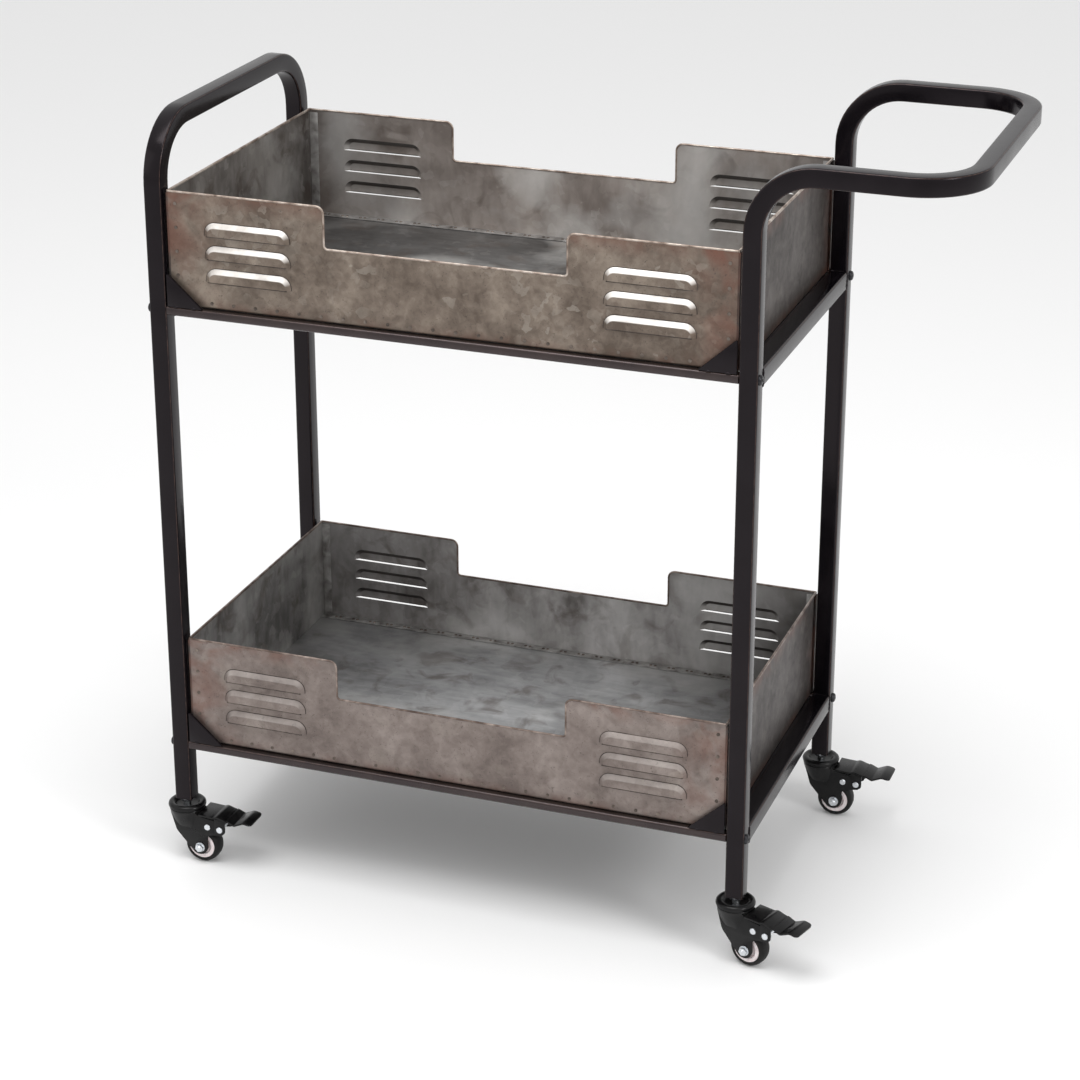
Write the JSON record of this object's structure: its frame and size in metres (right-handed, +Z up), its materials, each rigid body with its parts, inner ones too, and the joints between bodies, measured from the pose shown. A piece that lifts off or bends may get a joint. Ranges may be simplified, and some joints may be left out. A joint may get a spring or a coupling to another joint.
{
  "type": "plant trolley",
  "caption": "Two-tier plant trolley: square-tube frame with end hoop and push handle, louvred notched sheet trays and braked swivel casters.",
  "frame": {"origin": "on the ground at the bottom centre of the whole trolley's box, handle and pedals included", "axes": "+X along the trolley towards its push handle, -Y towards its front long side, +Z up"},
  "size_m": [0.8874, 0.4136, 0.882],
  "materials": {
    "black_paint": "satin black powder coat on square steel tube, thin brown wear along the edges",
    "galvanised_upper": "aged galvanised sheet, brown-bronze spangle with pale flecks and a reddish tinge near the edges",
    "galvanised_lower": "aged galvanised sheet, smoother brown-grey with cloudy highlights inside",
    "black_screw": "black oxide button-head screws",
    "bright_zinc": "bright zinc plating on nuts, stems and axle bolts",
    "black_pressing": "glossy black enamel on pressed steel",
    "black_rubber": "matt black solid rubber tread",
    "pale_nylon": "off-white moulded nylon wheel core"
  },
  "bodies": {
    "body": {"frame_left": "black_paint", "frame_right": "black_paint", "cross_rail_left_lower": "black_paint", "cross_rail_right_lower": "black_paint", "long_rail_front_lower": "black_paint", "long_rail_rear_lower": "black_paint", "gusset_front_left_lower": "black_paint", "screw_left_front_lower": "black_screw", "gusset_front_right_lower": "black_paint", "screw_right_front_lower": "black_screw", "gusset_rear_left_lower": "black_paint", "screw_left_rear_lower": "black_screw", "gusset_rear_right_lower": "black_paint", "screw_right_rear_lower": "black_screw", "tray_front_lower": "galvanised_lower", "tray_rear_lower": "galvanised_lower", "tray_end_left_lower": "galvanised_lower", "tray_end_right_lower": "galvanised_lower", "tray_floor_lower": "galvanised_lower", "cross_rail_left_upper": "black_paint", "cross_rail_right_upper": "black_paint", "long_rail_front_upper": "black_paint", "long_rail_rear_upper": "black_paint", "gusset_front_left_upper": "black_paint", "screw_left_front_upper": "black_screw", "gusset_front_right_upper": "black_paint", "screw_right_front_upper": "black_screw", "gusset_rear_left_upper": "black_paint", "screw_left_rear_upper": "black_screw", "gusset_rear_right_upper": "black_paint", "screw_right_rear_upper": "black_screw", "tray_front_upper": "galvanised_upper", "tray_rear_upper": "galvanised_upper", "tray_end_left_upper": "galvanised_upper", "tray_end_right_upper": "galvanised_upper", "tray_floor_upper": "galvanised_upper", "stem_front_left": "bright_zinc", "stem_front_right": "bright_zinc", "stem_rear_left": "bright_zinc", "stem_rear_right": "bright_zinc"},
    "swivel_front_left": {"fork_front_left": "black_pressing", "axle_front_left": "bright_zinc"},
    "wheel_front_left": {"wheel_front_left_tyre": "black_rubber", "wheel_front_left_hub": "pale_nylon"},
    "brake_front_left": {"pedal_front_left": "black_pressing"},
    "swivel_front_right": {"fork_front_right": "black_pressing", "axle_front_right": "bright_zinc"},
    "wheel_front_right": {"wheel_front_right_tyre": "black_rubber", "wheel_front_right_hub": "pale_nylon"},
    "brake_front_right": {"pedal_front_right": "black_pressing"},
    "swivel_rear_left": {"fork_rear_left": "black_pressing", "axle_rear_left": "bright_zinc"},
    "wheel_rear_left": {"wheel_rear_left_tyre": "black_rubber", "wheel_rear_left_hub": "pale_nylon"},
    "brake_rear_left": {"pedal_rear_left": "black_pressing"},
    "swivel_rear_right": {"fork_rear_right": "black_pressing", "axle_rear_right": "bright_zinc"},
    "wheel_rear_right": {"wheel_rear_right_tyre": "black_rubber", "wheel_rear_right_hub": "pale_nylon"},
    "brake_rear_right": {"pedal_rear_right": "black_pressing"}
  },
  "joints": [
    {"name": "swivel_front_left", "type": "hinge", "parent": "body", "child": "swivel_front_left", "pos_m": [-0.42225, -0.16771, 0.0675], "axis": [0, 0, 1], "continuous": true},
    {"name": "roll_front_left", "type": "hinge", "parent": "swivel_front_left", "child": "wheel_front_left", "pos_m": [-0.40225, -0.16771, 0.021], "axis": [0, 1, 0], "continuous": true},
    {"name": "brake_front_left", "type": "hinge", "parent": "swivel_front_left", "child": "brake_front_left", "pos_m": [-0.37625, -0.16771, 0.048], "axis": [0, 1, 0], "range_deg": [0, 12]},
    {"name": "swivel_front_right", "type": "hinge", "parent": "body", "child": "swivel_front_right", "pos_m": [0.22575, -0.16771, 0.0675], "axis": [0, 0, 1], "continuous": true},
    {"name": "roll_front_right", "type": "hinge", "parent": "swivel_front_right", "child": "wheel_front_right", "pos_m": [0.24497, -0.17322, 0.021], "axis": [0.2756, 0.9613, 0], "continuous": true},
    {"name": "brake_front_right", "type": "hinge", "parent": "swivel_front_right", "child": "brake_front_right", "pos_m": [0.26997, -0.18039, 0.048], "axis": [0.2756, 0.9613, 0], "range_deg": [0, 12]},
    {"name": "swivel_rear_left", "type": "hinge", "parent": "body", "child": "swivel_rear_left", "pos_m": [-0.42225, 0.18529, 0.0675], "axis": [0, 0, 1], "continuous": true},
    {"name": "roll_rear_left", "type": "hinge", "parent": "swivel_rear_left", "child": "wheel_rear_left", "pos_m": [-0.40225, 0.18529, 0.021], "axis": [0, 1, 0], "continuous": true},
    {"name": "brake_rear_left", "type": "hinge", "parent": "swivel_rear_left", "child": "brake_rear_left", "pos_m": [-0.37625, 0.18529, 0.048], "axis": [0, 1, 0], "range_deg": [0, 12]},
    {"name": "swivel_rear_right", "type": "hinge", "parent": "body", "child": "swivel_rear_right", "pos_m": [0.22575, 0.18529, 0.0675], "axis": [0, 0, 1], "continuous": true},
    {"name": "roll_rear_right", "type": "hinge", "parent": "swivel_rear_right", "child": "wheel_rear_right", "pos_m": [0.24575, 0.18529, 0.021], "axis": [0, 1, 0], "continuous": true},
    {"name": "brake_rear_right", "type": "hinge", "parent": "swivel_rear_right", "child": "brake_rear_right", "pos_m": [0.27175, 0.18529, 0.048], "axis": [0, 1, 0], "range_deg": [0, 12]}
  ]
}
